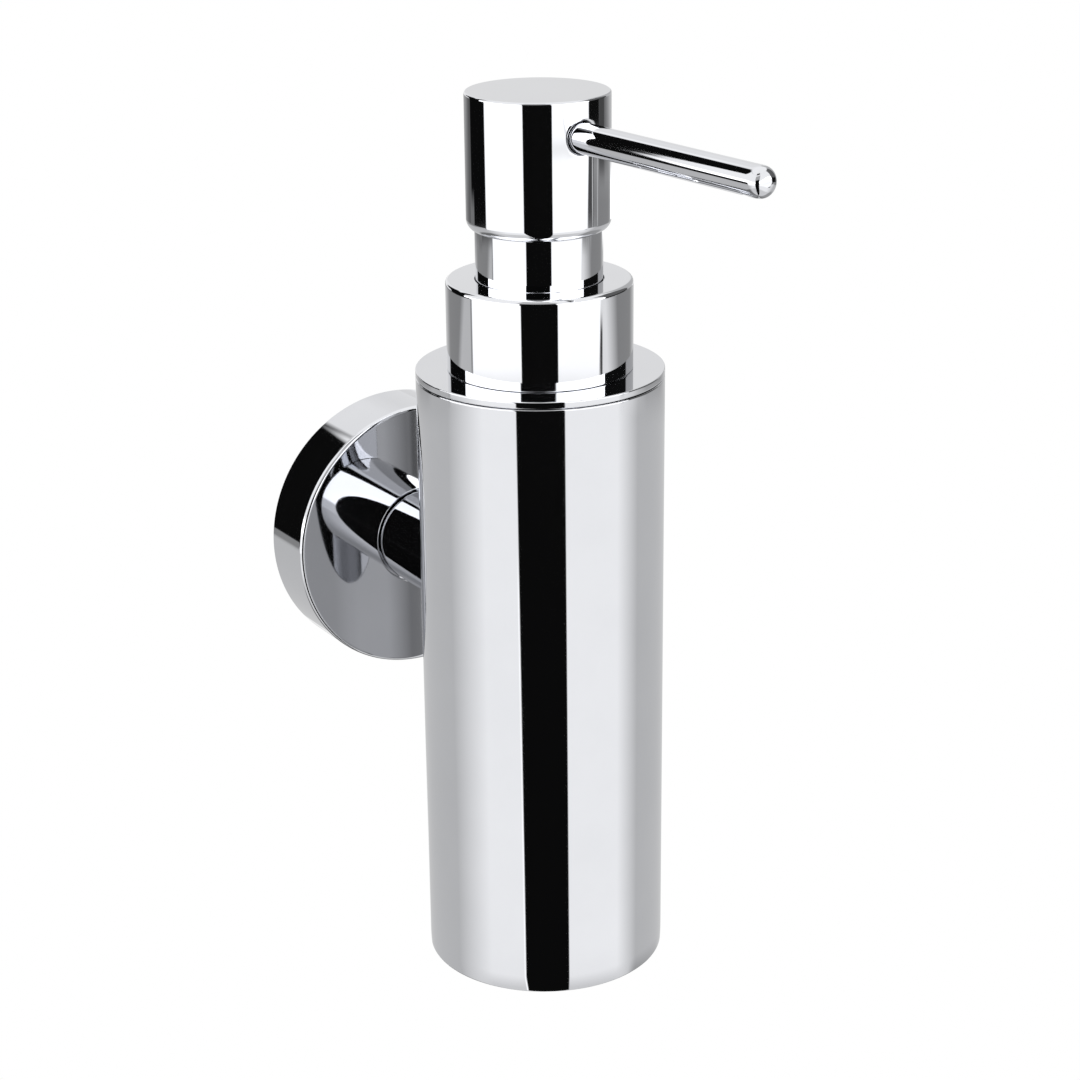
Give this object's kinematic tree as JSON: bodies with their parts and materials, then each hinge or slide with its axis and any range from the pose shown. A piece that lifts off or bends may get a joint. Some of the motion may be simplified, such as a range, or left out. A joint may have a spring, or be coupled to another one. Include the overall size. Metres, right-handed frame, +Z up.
{
  "type": "wall-mounted soap dispenser",
  "caption": "Wall-mounted soap dispenser: upright round bottle shell on a short arm and round flange, with a screw-on lotion pump and a long thin side spout.",
  "frame": {"origin": "centre of the wall face of the mounting plate, on the arm's axis", "axes": "+Y into the wall, +Z up along the bottle's axis, +X to the right as seen from the room"},
  "size_m": [0.06, 0.1313, 0.1839],
  "materials": {
    "chrome": "mirror-polished chrome plate on brass",
    "zinc": "die-cast zinc, as cast",
    "steel": "stainless, turned",
    "bottle_plastic": "blow-moulded, milky",
    "pump_plastic": "moulded, smooth",
    "rubber": "moulded, matt"
  },
  "bodies": {
    "bracket": {"wall_plate": "zinc", "flange": "chrome", "flange_grub_screw": "steel", "arm": "chrome", "arm_washer": "steel", "arm_screw": "steel", "shell_screw": "steel", "saddle_washer": "steel", "shell": "chrome", "shell_base": "chrome"},
    "container": {"inner_bottle": "bottle_plastic", "lid_plate": "chrome"},
    "pump": {"pump_housing": "pump_plastic", "pump_cap": "pump_plastic", "neck_gasket": "rubber", "dip_tube": "pump_plastic"},
    "closure_set": {"collar": "chrome", "closure": "pump_plastic", "guide_sleeve": "chrome"},
    "plunger": {"stem": "pump_plastic", "piston": "pump_plastic", "piston_rod": "pump_plastic", "return_spring": "steel"},
    "head": {"head_shell": "chrome", "head_insert": "pump_plastic", "spout_tube": "chrome", "spout_seal": "rubber"},
    "inlet_valve": {"inlet_ball": "steel"},
    "outlet_valve": {"outlet_ball": "steel"}
  },
  "joints": [
    {"name": "refill_lift", "type": "slide", "parent": "bracket", "child": "container", "axis": [0, 0, 1], "range_m": [0, 0.126]},
    {"name": "pump_rise", "type": "slide", "parent": "container", "child": "pump", "axis": [0, 0, 1], "range_m": [0, 0.0064]},
    {"name": "collar_unscrew", "type": "hinge", "parent": "pump", "child": "closure_set", "pos_m": [0, -0.0646, 0.0607], "axis": [0, 0, 1], "range_deg": [0, 540]},
    {"name": "press", "type": "slide", "parent": "pump", "child": "plunger", "axis": [0, 0, 1], "range_m": [-0.0095, 0], "stiffness_N_per_m": 900, "springref_m": 0.009, "deforming": ["return_spring"]},
    {"name": "head_swivel", "type": "hinge", "parent": "plunger", "child": "head", "pos_m": [0, -0.0646, 0.0996], "axis": [0, 0, 1], "continuous": true},
    {"name": "inlet_lift", "type": "slide", "parent": "pump", "child": "inlet_valve", "axis": [0, 0, 1], "range_m": [0, 0.0009]},
    {"name": "outlet_lift", "type": "slide", "parent": "plunger", "child": "outlet_valve", "axis": [0, 0, 1], "range_m": [0, 0.0009]}
  ],
  "couplings": [
    {"joint": "pump_rise", "follows": "collar_unscrew", "m_per_rad": 0.00066845}
  ]
}
